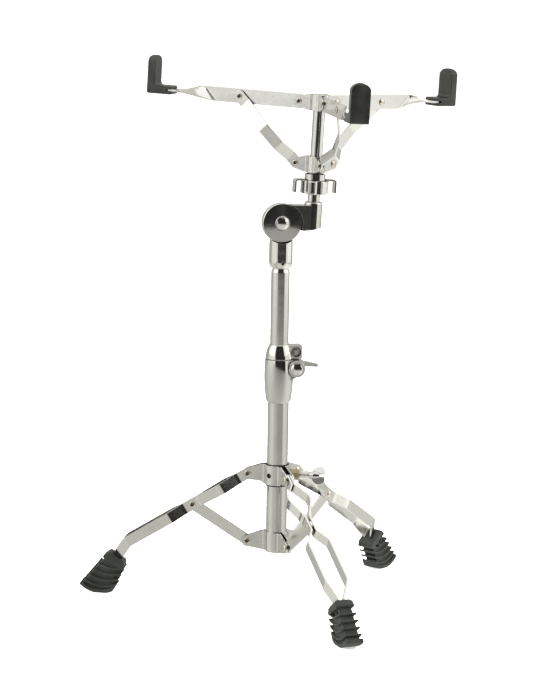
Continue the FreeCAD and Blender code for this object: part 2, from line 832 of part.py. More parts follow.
def arm():
    """Basket arm along X from its pivot: a strip on edge, a quarter twist and a flat end."""
    half = arm_w / 2
    blade = slab("xz", [
        (lug_r, -half),
        (twist_start, -half),
        (twist_start, half),
        (lug_r, half),
        (lug_r - half, 0, lug_r, -half),
    ], -arm_t / 2, arm_t / 2)
    rings = []
    count = 9
    for i in range(count):
        x = twist_start + (twist_end - twist_start) * i / (count - 1)
        angle = 90 * i / (count - 1)
        corners = [(-arm_t / 2, -half), (arm_t / 2, -half), (arm_t / 2, half), (-arm_t / 2, half)]
        loop = [Vector(x, y, z) for y, z in corners]
        wire = Part.makePolygon(loop + loop[:1])
        wire.rotate(Vector(x, 0, 0), Vector(1, 0, 0), angle)
        rings.append(wire)
    twist = Part.makeLoft(rings, True, False)
    flat = box(twist_end, arm_end, -half, half, -arm_t / 2, arm_t / 2)
    shape = blade.fuse(twist).fuse(flat)
    shape = shape.cut(cross_bar(basket_rivet_r + running, lug_r, 0, -cutter, cutter))
    wide = basket_rivet_r + slot_half * 0.35
    shape = shape.cut(slab("xz", [
        (brace_r - slot_half, -wide),
        (brace_r + slot_half, -wide),
        (brace_r + slot_half + wide, 0, brace_r + slot_half, wide),
        (brace_r - slot_half, wide),
        (brace_r - slot_half - wide, 0, brace_r - slot_half, -wide),
    ], -cutter, cutter))
    return moved(shape, 0, 0, hub_z).Solids[0]


def gripper(strip):
    """L-shaped rubber gripper with an arched top, moulded over the end of the arm."""
    inner = grip_out - grip_t
    side = slab("xz", [
        (grip_in + 2, -grip_low),
        (grip_out - 2, -grip_low),
        (grip_out - 0.6, -grip_low + 0.6, grip_out, -grip_low + 2),
        (grip_out, grip_high - 4),
        (grip_out - 1.2, grip_high - 1.2, grip_out - 4, grip_high),
        (inner + 2, grip_high),
        (inner + 0.6, grip_high - 0.6, inner, grip_high - 2),
        (inner, grip_low + 4),
        (inner - 1.2, grip_low + 1.2, inner - 4, grip_low),
        (grip_in + 2, grip_low),
        (grip_in + 0.6, grip_low - 0.6, grip_in, grip_low - 2),
        (grip_in, -grip_low + 2),
        (grip_in + 0.6, -grip_low + 0.6, grip_in + 2, -grip_low),
    ], -grip_half, grip_half)
    front = slab("yz", [
        (-grip_half, -grip_low - 1),
        (grip_half, -grip_low - 1),
        (grip_half, grip_high - grip_arch),
        (0, grip_high, -grip_half, grip_high - grip_arch),
    ], grip_in - 1, grip_out + 1)
    shape = side.common(front)
    for sign in (-1, 1):
        low, high = sorted((sign * (arm_w / 2 - 0.5), sign * (grip_half + 1)))
        shape = shape.cut(box(grip_in - 1, grip_in + 6, low, high, -arm_t / 2, arm_t / 2))
    return moved(shape, 0, 0, hub_z).cut(strip).Solids[0]


def brace():
    """Bent strip from the sliding collar up to one side of the arm."""
    rise = hub_z - collar_z
    length = math.hypot(brace_r - lug_r, rise)
    half = brace_w / 2
    beside = arm_t / 2 + gap + brace_t / 2
    line = [
        (-half - 1, 0),
        (half + 3.2, 0),
        (0.26 * length, brace_bow_low),
        (0.53 * length, brace_bow_high),
        (length - half - 4, beside),
        (length + half + 1, beside),
    ]
    plan = band("xy", line, brace_t, 4.0)
    plan.translate(Vector(0, 0, -cutter))
    plan = plan.extrude(Vector(0, 0, 2 * cutter))
    side = slab("xz", [
        (0, -half),
        (length, -half),
        (length + half, 0, length, half),
        (0, half),
        (-half, 0, 0, -half),
    ], -cutter, cutter)
    shape = plan.common(side)
    shape = shape.cut(cross_bar(basket_rivet_r + running, 0, 0, -cutter, cutter))
    shape = shape.cut(cross_bar(basket_rivet_r, length, 0, -cutter, cutter))
    shape = turned(shape, -math.degrees(math.atan2(rise, brace_r - lug_r)), (0, 1, 0))
    return moved(shape, lug_r, 0, collar_z).Solids[0]


def basket_nut():
    """Hand nut: fluted barrel under a strap whose two ends are bent down as finger tabs."""
    barrel = spun([
        (0, nut_low),
        (nut_r - 1, nut_low),
        (nut_r, nut_low + 1),
        (nut_r, nut_high - 1),
        (nut_r - 1, nut_high),
        (0, nut_high),
    ])
    for i in range(6):
        angle = math.radians(30 + 60 * i)
        x, y = (nut_r + 3.6) * math.cos(angle), (nut_r + 3.6) * math.sin(angle)
        barrel = barrel.cut(bar(6.4, (x, y, nut_low - 1), (0, 0, 1), cutter))
    under = nut_high - 0.4
    top = under + nut_strap_t
    inside = nut_span - nut_strap_t
    tab = slab("xz", [
        (flange_r + 0.8, under),
        (inside - 1, under),
        (inside - 0.3, under - 0.3, inside, under - 1),
        (inside, nut_low + 1),
        (nut_span, nut_low + 1),
        (nut_span, top - 3),
        (nut_span - 0.9, top - 0.9, nut_span - 3, top),
        (flange_r + 0.8, top),
    ], -nut_strap_w / 2, nut_strap_w / 2)
    shape = barrel.fuse(tab).fuse(turned(tab, 180))
    return shape.cut(bar(rod_r + running, (0, 0, 0), (0, 0, 1), tall_cutter)).Solids[0]


def basket(parts):
    """Tilting half: arm casting, rod, hub, sliding collar, arms, braces, grippers and nut."""
    local = {}
    local["rod"] = spun([
        (0, rod_low),
        (rod_r, rod_low),
        (rod_r, hub_z + hub_half - 0.8),
        (rod_r - 0.8, hub_z + hub_half),
        (0, hub_z + hub_half),
    ])
    core_r = rod_r + core_t
    local["hub_core"] = tube(rod_r, core_r, hub_z - hub_half, hub_z + hub_half - 0.8)
    ear_gap = arm_t / 2 + gap
    plate = collar_plate(
        core_r, basket_plate_t, ear_gap, lug_r, hub_z, basket_ear_r,
        hub_z - hub_half, hub_z + hub_half, hub_z - hub_half, 2.5, basket_rivet_r,
    )
    local["hub_plates"] = Part.makeCompound(ring_of(plate, arm_angles[0]))
    plate = moved(plate, 0, 0, collar_z - hub_z)
    local["basket_collar_plates"] = Part.makeCompound(ring_of(plate, arm_angles[0]))
    half = ear_gap + basket_plate_t
    rivet = moved(dome_rivet(basket_rivet_r, basket_head_r, -half, half), lug_r, 0, hub_z)
    local["hub_rivets"] = Part.makeCompound(ring_of(rivet, arm_angles[0]))
    rivet = moved(rivet, 0, 0, collar_z - hub_z)
    local["basket_collar_rivets"] = Part.makeCompound(ring_of(rivet, arm_angles[0]))
    local["basket_collar_bush"] = spun([
        (rod_r + running, nut_high + gap),
        (flange_r, nut_high + gap),
        (flange_r, collar_z - hub_half - 1.8),
        (core_r, collar_z - hub_half - 1.0),
        (core_r, collar_z + hub_half),
        (rod_r + running, collar_z + hub_half),
    ])
    local["basket_nut"] = turned(basket_nut(), 5)
    strip = arm()
    rubber = gripper(strip)
    bent = brace()
    beside = arm_t / 2 + gap
    pin = dome_rivet(basket_rivet_r, brace_head_r, -beside, beside + brace_t)
    pin = moved(pin, brace_r, 0, hub_z)
    for i, angle in enumerate(arm_angles):
        local["arm_%d" % (i + 1)] = turned(strip, angle)
        local["gripper_%d" % (i + 1)] = turned(rubber, angle)
        local["brace_%d" % (i + 1)] = turned(bent, angle)
        local["brace_rivet_%d" % (i + 1)] = turned(pin, angle)
    tilting = {name: moved(shape, rod_x) for name, shape in local.items()}
    tilting["tilter_arm"] = tilter_arm()
    washer = turned(tube(tilter_bolt_r + running, disc_r - 4, -washer_t / 2, washer_t / 2), -90, (1, 0, 0))
    tilting["friction_washer"] = moved(washer, 0, 0, tilter_z)
    for name, shape in tilting.items():
        parts[name] = turned(shape, tilt, (0, 1, 0), (0, 0, tilter_z))


def build():
    parts = {}
    tripod(parts)
    mast(parts)
    basket(parts)
    os.makedirs("parts", exist_ok=True)
    for name, shape in parts.items():
        shape.exportStep("parts/%s.step" % name)
    print(len(parts), "parts")


build()
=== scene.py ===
"""Looks of the snare drum stand: plated metal, riveted joints, a thread and moulded rubber."""
import json
import math

import bmesh
import bpy
from mathutils import Matrix, Vector

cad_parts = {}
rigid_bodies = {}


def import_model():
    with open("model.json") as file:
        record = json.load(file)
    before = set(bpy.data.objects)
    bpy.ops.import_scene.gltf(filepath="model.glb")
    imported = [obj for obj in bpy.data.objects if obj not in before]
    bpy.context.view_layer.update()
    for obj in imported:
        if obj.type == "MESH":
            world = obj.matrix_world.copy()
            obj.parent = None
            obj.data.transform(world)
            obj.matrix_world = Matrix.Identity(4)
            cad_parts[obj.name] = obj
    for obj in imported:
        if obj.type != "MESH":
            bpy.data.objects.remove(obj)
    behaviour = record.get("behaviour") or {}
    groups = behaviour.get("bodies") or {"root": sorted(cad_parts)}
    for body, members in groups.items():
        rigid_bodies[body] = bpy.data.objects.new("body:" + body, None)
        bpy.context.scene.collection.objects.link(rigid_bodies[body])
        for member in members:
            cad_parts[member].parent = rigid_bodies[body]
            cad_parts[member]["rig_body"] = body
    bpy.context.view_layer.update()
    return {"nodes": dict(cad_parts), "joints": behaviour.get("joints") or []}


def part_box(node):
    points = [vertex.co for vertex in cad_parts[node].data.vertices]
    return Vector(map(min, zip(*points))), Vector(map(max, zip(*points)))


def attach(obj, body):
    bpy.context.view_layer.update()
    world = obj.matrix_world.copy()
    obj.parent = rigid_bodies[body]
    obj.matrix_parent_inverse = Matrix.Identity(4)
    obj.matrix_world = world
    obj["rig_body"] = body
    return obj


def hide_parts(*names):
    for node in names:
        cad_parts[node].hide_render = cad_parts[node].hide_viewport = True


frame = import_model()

nodes = frame["nodes"]
joints = {j["name"]: j for j in frame["joints"]}
scene = bpy.context.scene
mm = 0.001


# Node trees

class Value:
    """A socket in a node tree. Arithmetic on it adds Math nodes."""

    def __init__(self, net, socket):
        self.net = net
        self.socket = socket

    def math(self, operation, *others):
        inputs = dict(enumerate((self,) + others))
        return self.net.node("ShaderNodeMath", {"operation": operation}, inputs)

    def __add__(self, other):
        return self.math("ADD", other)

    def __mul__(self, other):
        return self.math("MULTIPLY", other)

    def __truediv__(self, other):
        return self.math("DIVIDE", other)

    def step(self, low, high):
        """Smooth rise from 0 at low to 1 at high."""
        return self.net.node(
            "ShaderNodeMapRange",
            {"interpolation_type": "SMOOTHSTEP", "clamp": True},
            {"Value": self, "From Min": low, "From Max": high},
        )


class Net:
    """A node tree that is being written."""

    def __init__(self, tree):
        self.tree = tree

    def node(self, kind, settings=None, inputs=None, out=0):
        """A new node with its settings and inputs: the value of one of its outputs."""
        made = self.tree.nodes.new(kind)
        for key, value in (settings or {}).items():
            if key == "stops":
                self.fill_ramp(made.color_ramp, value)
            else:
                setattr(made, key, value)
        for key, value in (inputs or {}).items():
            if isinstance(value, Value):
                self.tree.links.new(value.socket, made.inputs[key])
            else:
                made.inputs[key].default_value = value
        return Value(self, made.outputs[out])

    def fill_ramp(self, ramp, stops):
        while len(ramp.elements) < len(stops):
            ramp.elements.new(1.0)
        for element, (place, colour) in zip(ramp.elements, stops):
            element.position = place
            element.color = colour

    def noise(self, coords, scale, detail, rough):
        return self.node(
            "ShaderNodeTexNoise",
            {"noise_dimensions": "3D"},
            {"Vector": coords, "Scale": scale, "Detail": detail, "Roughness": rough},
        )

    def stretched(self, coords, scale):
        return self.node("ShaderNodeMapping", {}, {"Vector": coords, "Scale": scale})

    def curve(self, factor, values):
        """A value read off a line of even steps."""
        read = self.node("ShaderNodeFloatCurve", {}, {"Value": factor})
        mapping = read.socket.node.mapping
        line = mapping.curves[0]
        last = len(values) - 1
        for i, value in enumerate(values):
            if i in (0, last):
                point = line.points[0 if i == 0 else -1]
            else:
                point = line.points.new(i / last, value)
            point.location = (i / last, value)
        for point in line.points:
            point.handle_type = "VECTOR"
        mapping.update()
        return read

    def split(self, vector):
        """The three numbers of a vector."""
        parts = self.tree.nodes.new("ShaderNodeSeparateXYZ")
        self.tree.links.new(vector.socket, parts.inputs[0])
        return tuple(Value(self, socket) for socket in parts.outputs)

    def mix(self, factor, a, b):
        """A colour between two colours."""
        first_colour, second_colour, mixed_colour = 6, 7, 2
        return self.node(
            "ShaderNodeMix",
            {"data_type": "RGBA"},
            {"Factor": factor, first_colour: a, second_colour: b},
            out=mixed_colour,
        )


def rgb(red, green, blue):
    return (red, green, blue, 1.0)


# Finishes

# Reach and colour of the painted shade in hollows, creases and between nearby parts.
painted_shade_reach = 6 * mm
painted_shade_tone = (0.05, 0.048, 0.043)
along_mast = (1500.0, 1500.0, 18.0)
across_strip = (160.0, 160.0, 900.0)
all_round = (700.0, 700.0, 700.0)
soft_edge, wire_edge = 0.35 * mm, 1.0 * mm
shoulder_drop = 8 * mm


def surface(name):
    """A new material, its net, its shader and the coordinates of the piece in metres."""
    material = bpy.data.materials.new(name)
    material.use_nodes = True
    net = Net(material.node_tree)
    shader = material.node_tree.nodes["Principled BSDF"]
    coords = net.node("ShaderNodeTexCoord", out="Object")
    return material, net, shader, coords


def feed(net, shader, name, value):
    net.tree.links.new(value.socket, shader.inputs[name])


def plated(name, bright, dull, gloss, haze, peel, grain, round_over=0.0, satin=0.0, satin_top=0.0):
    """Plated metal: orange peel, hazy patches, rubbed lines along the grain, specks, and painted shade that
    darkens its hollows and the places next to other parts.

    Its edges look rounded over. Satin is the matt blasted part of a casting, up to its height satin_top
    and less to the right.
    """
    rub_haze, speck_haze = 0.6, 0.10
    haze_stain, rub_stain, speck_stain = 0.35, 0.25, 0.4
    satin_lean, satin_soft, satin_wander = 0.7, 5 * mm, 8 * mm
    broad_share, fine_share, rub_share, peel_depth = 0.8, 0.2, 0.04, 0.4 * mm
    material, net, shader, coords = surface(name)
    patches = net.noise(coords, scale=24.0, detail=3.0, rough=0.55)
    rubbed = net.noise(net.stretched(coords, grain), scale=1.0, detail=2.0, rough=0.6)
    specks = net.noise(coords, scale=1600.0, detail=1.0, rough=0.4).step(0.66, 0.78)
    hazy = patches.step(0.42, 0.74)
    roughness = hazy * haze + rubbed.step(0.45, 0.8) * (haze * rub_haze) + specks * speck_haze + gloss
    if satin:
        x, y, z = net.split(coords)
        height = z + x * satin_lean + patches * satin_wander
        roughness = roughness + height.step(satin_top + satin_soft, satin_top - satin_soft) * satin
    feed(net, shader, "Roughness", roughness)
    stain = hazy * haze_stain + rubbed.step(0.5, 0.9) * rub_stain + specks * speck_stain
    colour = net.mix(stain, rgb(*bright), rgb(*dull))
    # Painted shade: the base colour turns dark where ambient occlusion finds hollows, creases and nearby
    # parts.
    unshaded = net.node("ShaderNodeAmbientOcclusion", {"samples": 6}, {"Distance": painted_shade_reach}, out="AO")
    feed(net, shader, "Base Color", net.mix(unshaded.step(0.1, 0.75), rgb(*painted_shade_tone), colour))
    broad = net.noise(coords, scale=95.0, detail=1.0, rough=0.4)
    fine = net.noise(coords, scale=420.0, detail=1.0, rough=0.4)
    waves = broad * broad_share + fine * fine_share + rubbed * rub_share
    relief = {"Strength": peel, "Distance": peel_depth, "Height": waves}
    if round_over:
        relief["Normal"] = net.node("ShaderNodeBevel", {"samples": 6}, {"Radius": round_over})
    feed(net, shader, "Normal", net.node("ShaderNodeBump", {}, relief, out="Normal"))
    shader.inputs["Metallic"].default_value = 1.0
    return material


def rubber(name, dark, worn, fine, matt):
    """Moulded rubber: fine matt grain, a dusty bloom and paler rubbed spots."""
    bloom_share, dust_share = 0.7, 0.3
    bloom_haze, dust_haze = 0.16, 0.1
    bloom_relief, depth = 0.3, 0.15 * mm
    material, net, shader, coords = surface(name)
    grain = net.noise(coords, scale=2600.0, detail=2.0, rough=0.6)
    bloom = net.noise(coords, scale=55.0, detail=4.0, rough=0.6).step(0.38, 0.72)
    dust = net.noise(coords, scale=700.0, detail=3.0, rough=0.7).step(0.58, 0.76)
    pale = bloom * bloom_share + dust * dust_share
    feed(net, shader, "Base Color", net.mix(pale, rgb(*dark), rgb(*worn)))
    feed(net, shader, "Roughness", bloom * bloom_haze + dust * dust_haze + matt)
    relief = {"Strength": fine, "Distance": depth, "Height": grain + bloom * bloom_relief}
    feed(net, shader, "Normal", net.node("ShaderNodeBump", {}, relief, out="Normal"))
    shader.inputs["Specular IOR Level"].default_value = 0.42
    return material


def plastic(name, light, shade, rough, fineness):
    """Turned nylon or pressed fibre: mottled, with fine turning lines."""
    stretch, mottle_share, fibre_share, fibre_haze = 0.12, 0.5, 0.5, 0.2
    material, net, shader, coords = surface(name)
    mottle = net.noise(coords, scale=140.0, detail=4.0, rough=0.65)
    lines = net.stretched(coords, (fineness, fineness, fineness * stretch))
    fibres = net.noise(lines, scale=1.0, detail=3.0, rough=0.6)
    tone = mottle * mottle_share + fibres * fibre_share
    feed(net, shader, "Base Color", net.mix(tone, rgb(*light), rgb(*shade)))
    feed(net, shader, "Roughness", fibres * fibre_haze + rough)
    relief = {"Strength": 0.25, "Distance": 0.1 * mm, "Height": fibres}
    feed(net, shader, "Normal", net.node("ShaderNodeBump", {}, relief, out="Normal"))
    return material


finishes = {
    "tube_chrome": plated(
        "bright_tube_plating", bright=(0.66, 0.66, 0.64), dull=(0.56, 0.555, 0.53),
        gloss=0.10, haze=0.07, peel=0.08, grain=along_mast,
    ),
    "pressed_chrome": plated(
        "pressed_plate_plating", bright=(0.68, 0.68, 0.66), dull=(0.56, 0.555, 0.53),
        gloss=0.12, haze=0.10, peel=0.22, grain=all_round, round_over=soft_edge,
    ),
    "strip_chrome": plated(
        "strip_plating", bright=(0.76, 0.76, 0.735), dull=(0.66, 0.65, 0.62),
        gloss=0.12, haze=0.10, peel=0.12, grain=across_strip, round_over=soft_edge,
    ),
    "cast_chrome": plated(
        "cast_plating", bright=(0.66, 0.66, 0.64), dull=(0.55, 0.545, 0.52),
        gloss=0.06, haze=0.05, peel=0.10, grain=all_round, round_over=soft_edge,
    ),
    "rivet_steel": plated(
        "nickel_rivet", bright=(0.70, 0.64, 0.56), dull=(0.42, 0.36, 0.29),
        gloss=0.16, haze=0.14, peel=0.20, grain=all_round,
    ),
    "plain_steel": plated(
        "zinc_steel", bright=(0.66, 0.66, 0.64), dull=(0.46, 0.45, 0.42),
        gloss=0.22, haze=0.14, peel=0.16, grain=all_round,
    ),
    "brass": plated(
        "aged_brass", bright=(0.40, 0.33, 0.21), dull=(0.22, 0.16, 0.09),
        gloss=0.24, haze=0.14, peel=0.16, grain=all_round,
    ),
    "nylon": plastic(
        "black_nylon", light=(0.018, 0.018, 0.018), shade=(0.008, 0.008, 0.008),
        rough=0.42, fineness=900.0,
    ),
    "fibre": plastic(
        "red_brown_fibre", light=(0.16, 0.075, 0.05), shade=(0.08, 0.035, 0.022),
        rough=0.6, fineness=600.0,
    ),
    "gripper_rubber": rubber(
        "gripper_rubber_black", dark=(0.0108, 0.0116, 0.0104), worn=(0.0245, 0.026, 0.0232),
        fine=0.35, matt=0.30,
    ),
    "foot_rubber": rubber(
        "foot_rubber_charcoal", dark=(0.015, 0.0173, 0.0141), worn=(0.0337, 0.0373, 0.0314),
        fine=0.45, matt=0.52,
    ),
}
blasted = plated(
    "blasted_cast_plating", bright=(0.63, 0.63, 0.61), dull=(0.54, 0.535, 0.51),
    gloss=0.06, haze=0.05, peel=0.10, grain=all_round, round_over=soft_edge,
    satin=0.34, satin_top=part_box("height_clamp")[1][2] - shoulder_drop,
)
wire_edged = plated(
    "nut_plating", bright=(0.70, 0.70, 0.68), dull=(0.58, 0.575, 0.55),
    gloss=0.08, haze=0.05, peel=0.10, grain=all_round, round_over=wire_edge,
)
slot_of = {}
for name, piece in nodes.items():
    slot_of[name] = piece.data.materials[0].name.split(".")[0]
    piece.data.materials[0] = finishes[slot_of[name]]
nodes["height_clamp"].data.materials[0] = blasted
nodes["basket_nut"].data.materials[0] = wire_edged


# Pieces

def body_of(node):
    return nodes[node]["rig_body"]


def seat(piece, body, slot, *stood_for):
    """Rides a finished piece on its body, in its finish, in place of the CAD nodes that it stands for."""
    piece.data.materials.clear()
    piece.data.materials.append(finishes[slot])
    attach(piece, body)
    if stood_for:
        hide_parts(*stood_for)


def new_piece(name, mesh):
    piece = bpy.data.objects.new(name, mesh)
    scene.collection.objects.link(piece)
    return piece


def baked(piece):
    """The piece with its modifiers worked into a plain mesh."""
    depsgraph = bpy.context.evaluated_depsgraph_get()
    made = bpy.data.meshes.new_from_object(piece.evaluated_get(depsgraph))
    piece.modifiers.clear()
    piece.data = made
    return piece


sharp_turn = math.radians(30)
row_pitch = 1.0 * mm


def opened(node):
    """The faces of a CAD piece, welded and cleared of lines inside flat faces."""
    merge, flat = 3e-6, math.radians(0.5)
    shape = bmesh.new()
    shape.from_mesh(nodes[node].data)
    bmesh.ops.remove_doubles(shape, verts=shape.verts, dist=merge)
    bmesh.ops.dissolve_limit(shape, angle_limit=flat, verts=shape.verts, edges=shape.edges)
    return shape


def closed(shape, node, ending):
    """Seats a smooth piece made of the worked faces of a CAD piece."""
    by_area = 100
    for face in shape.faces:
        face.smooth = True
    mesh = bpy.data.meshes.new(node + ending)
    shape.to_mesh(mesh)
    shape.free()
    if "custom_normal" in mesh.attributes:
        mesh.attributes.remove(mesh.attributes["custom_normal"])
    piece = new_piece(node + ending, mesh)
    weigh = piece.modifiers.new("weigh", "WEIGHTED_NORMAL")
    weigh.weight = by_area
    weigh.keep_sharp = True
    seat(baked(piece), body_of(node), slot_of[node], node)


def cut(shape, point, way):
    """Cuts all faces of a shape along a plane."""
    everything = shape.verts[:] + shape.edges[:] + shape.faces[:]
    bmesh.ops.bisect_plane(shape, geom=everything, plane_co=point, plane_no=way, dist=1e-7)


def cut_rows(shape, start, way, first, last):
    """Cuts a strip across at even steps: the points on each cut, and a reader of places between cuts."""
    on_cut = 1e-3
    steps = int((last - first) / row_pitch)
    for i in range(steps + 1):
        cut(shape, start + way * (first + (last - first) * i / steps), way)

    def place(v):
        return ((v.co - start).dot(way) - first) / (last - first) * steps

    rows = [[] for i in range(steps + 1)]
    for v in shape.verts:
        i = round(place(v))
        if abs(place(v) - i) < on_cut and 0 <= i <= steps:
            rows[i].append(v.co - start)
    return rows, place


def between(values, place):
    """A value read from a list at a place between its steps."""
    place = min(max(place, 0.0), len(values) - 1.0)
    i = min(int(place), len(values) - 2)
    return values[i] + (values[i + 1] - values[i]) * (place - i)


def joggle(along, rise, lead, steep, blend):
    """Height up a strip's bend: a straight ramp, its slope in degrees, between two curves."""
    shares = (-1.0, -0.6, -0.2, 0.2, 0.6, 1.0)
    slope = math.tan(math.radians(steep))
    heights = [(along - lead + share * blend) * slope for share in shares]
    return sum(min(rise, max(0.0, height)) for height in heights) / len(shares)


def swept(shape, start, end, across, spans):
    """Reshapes a leg strip's bends: in each span, from a flat to a loop, its ramp becomes a joggle.

    A span is two distances from the start towards the end, then the ramp's lead from the first, its slope
    and half the length of its curves.
    """
    way = (end - start).normalized()
    for first, last, *ramp in spans:
        rows, place = cut_rows(shape, start, way, first, last)
        offsets = [[p.dot(across) for p in row] for row in rows]
        middles = [(min(row) + max(row)) / 2 for row in offsets]
        side = 1 if middles[-1] > 0 else -1
        was = [side * middle for middle in middles]
        for v in shape.verts:
            if 0 < place(v) < len(was) - 1:
                along = (v.co - start).dot(way) - first
                height = was[0] + joggle(along, was[-1] - was[0], *ramp)
                v.co += across * (side * (height - between(was, place(v))))


def lean_of(row, up, right):
    """The lean of a flat section's long way from upright."""
    middle = sum(row, Vector()) / len(row)
    spread = [((p - middle).dot(up), (p - middle).dot(right)) for p in row]
    tall = sum(a * a - b * b for a, b in spread)
    cross = sum(2 * a * b for a, b in spread)
    return 0.5 * math.atan2(cross, tall)


def drawn_out(node, hinge, up, short, long, slant):
    """A copy of a basket arm, its quarter twist drawn out from a short span to a long one.

    Spans are distances from the arm's pivot. The long twist starts on a slanted line, further out at the
    top, and slackens towards its end.
    """
    steps = 32
    start = Vector(joints[hinge]["pos_m"])
    out = Vector(joints[hinge]["axis"]).cross(up).normalized()
    shape = opened(node)
    if sum((v.co - start).dot(out) for v in shape.verts) < 0:
        out = -out
    rows, place = cut_rows(shape, start, out, *short)
    leans = []
    for row in rows:
        lean = lean_of(row, up, out.cross(up))
        if leans:
            lean += math.pi * round((leans[-1] - lean) / math.pi)
        leans.append(lean)
    for v in shape.verts:
        unwind = Matrix.Rotation(leans[0] - between(leans, place(v)), 3, out)
        v.co = start + unwind @ (v.co - start)
    first, last = long
    for i in range(steps + 1):
        share = i / steps
        cut(shape, start + out * (first + (last - first) * share), out - up * (slant * (1 - share)))
    for v in shape.verts:
        spot = v.co - start
        begin = first + slant * spot.dot(up)
        share = min(max((spot.dot(out) - begin) / (last - begin), 0.0), 1.0)
        turn = (leans[-1] - leans[0]) * (1 - (1 - share) ** 2)
        v.co = start + Matrix.Rotation(turn, 3, out) @ spot
    for edge in shape.edges:
        edge.smooth = edge.calc_face_angle() < sharp_turn
    closed(shape, node, "_drawn")


def eased(node, edge, rows, reshapes=()):
    """A copy of a CAD piece with its sharp edges rounded over."""
    shape = opened(node)
    for reshape in reshapes:
        swept(shape, *reshape)
    sharp = [e for e in shape.edges if e.calc_face_angle() > sharp_turn]
    bmesh.ops.bevel(
        shape, geom=sharp, offset=edge, offset_type="OFFSET", segments=rows, profile=0.5,
        affect="EDGES", clamp_overlap=True, loop_slide=True,
    )
    closed(shape, node, "_eased")


def moulded(node, grain, rounds):
    """A copy of a CAD rubber piece with all its edges flowed over, as from a worn mould."""
    piece = new_piece(node + "_moulded", nodes[node].data.copy())
    melt = piece.modifiers.new("melt", "REMESH")
    melt.mode = "VOXEL"
    melt.voxel_size = grain
    melt.use_smooth_shade = True
    flow = piece.modifiers.new("flow", "SMOOTH")
    flow.factor = 0.5
    flow.iterations = rounds
    seat(baked(piece), body_of(node), slot_of[node], node)


def shaper(name, inputs):
    """A new geometry node group with named inputs: the group, its net and its input node's values."""
    group = bpy.data.node_groups.new(name, "GeometryNodeTree")
    face = group.interface
    face.new_socket("Geometry", in_out="INPUT", socket_type="NodeSocketGeometry")
    for title, kind in inputs.items():
        face.new_socket(title, in_out="INPUT", socket_type="NodeSocket" + kind)
    face.new_socket("Geometry", in_out="OUTPUT", socket_type="NodeSocketGeometry")
    net = Net(group)
    given = group.nodes.new("NodeGroupInput")
    return group, net, {socket.name: Value(net, socket) for socket in given.outputs if socket.name}


def finish_group(net, geometry, material):
    """Ends a geometry node group in plain, smooth geometry with its material."""
    smooth = net.node("GeometryNodeSetShadeSmooth", {}, {"Geometry": geometry})
    plain = net.node("GeometryNodeRealizeInstances", {}, {"Geometry": smooth})
    clad = net.node("GeometryNodeSetMaterial", {}, {"Geometry": plain, "Material": material})
    ends = net.tree.nodes.new("NodeGroupOutput")
    net.tree.links.new(clad.socket, ends.inputs[0])


def run_group(piece, group, **given):
    """Sets a group's inputs by their identifiers and bakes its geometry."""
    work = piece.modifiers.new(group.name, "NODES")
    work.node_group = group
    for item in group.interface.items_tree:
        if item.in_out == "INPUT" and item.name in given:
            work[item.identifier] = given[item.name]
    baked(piece)


def rivet_outline(head, shank, start, stop):
    """Radius and height down a tubular rivet: its dome, its shank, its rolled rim and its hollow."""
    rise, tail, hole = 0.36 * head, 0.84 * head, 0.74 * shank
    throat, bottom = 0.82 * hole, 0.6 * hole
    roll, funnel, depth = 1.05 * mm, 1.2 * mm, 2.0 * mm
    steps = 8
    ball = (head ** 2 + rise ** 2) / (2 * rise)
    reach = math.asin(head / ball)
    line = []
    for i in range(steps + 1):
        lean = reach * i / steps
        line.append((ball * math.sin(lean), start - rise + ball - ball * math.cos(lean)))
    line += [(head, start), (shank, start), (shank, stop), (tail, stop)]
    middle, half = (tail + hole) / 2, (tail - hole) / 2
    for i in range(1, steps):
        lean = math.pi * i / steps
        line.append((middle + half * math.cos(lean), stop + roll * math.sin(lean)))
    line += [(hole, stop), (throat, stop - funnel), (bottom, stop - depth), (0.0, stop - depth)]
    return line


def rivet_group(name, outline):
    """Geometry nodes that turn an outline into a rivet and set one on each point, along the point's axis."""
    weld = 0.002 * mm
    group, net, given = shaper(name, {
        "Radius": "Float", "Low": "Float", "Length": "Float", "Sides": "Int", "Material": "Material",
    })
    low = min(h for r, h in outline)
    length = max(h for r, h in outline) - low
    radius = max(r for r, h in outline)
    sheet = net.node(
        "GeometryNodeMeshGrid", {},
        {"Size X": 1.0, "Size Y": 1.0, "Vertices X": given["Sides"], "Vertices Y": len(outline)},
    )
    spot = net.node("GeometryNodeInputPosition")
    across, down = (value + 0.5 for value in net.split(spot)[:2])
    out = net.curve(down, [r / radius for r, h in outline]) * given["Radius"]
    up = net.curve(down, [(h - low) / length for r, h in outline]) * given["Length"] + given["Low"]
    turn = across * (2 * math.pi)
    place = net.node(
        "ShaderNodeCombineXYZ", {},
        {"X": out * turn.math("COSINE"), "Y": out * turn.math("SINE"), "Z": up},
    )
    bent = net.node("GeometryNodeSetPosition", {}, {"Geometry": sheet, "Position": place})
    whole = net.node("GeometryNodeMergeByDistance", {}, {"Geometry": bent, "Distance": weld})
    way = net.node("GeometryNodeInputNamedAttribute", {"data_type": "FLOAT_VECTOR"}, {"Name": "way"})
    stance = net.node("FunctionNodeAlignRotationToVector", {"axis": "Z"}, {"Vector": way})
    spread = net.node(
        "GeometryNodeInstanceOnPoints", {},
        {"Points": given["Geometry"], "Instance": whole, "Rotation": stance},
    )
    finish_group(net, spread, given["Material"])
    return group, {"Radius": radius, "Low": low, "Length": length}


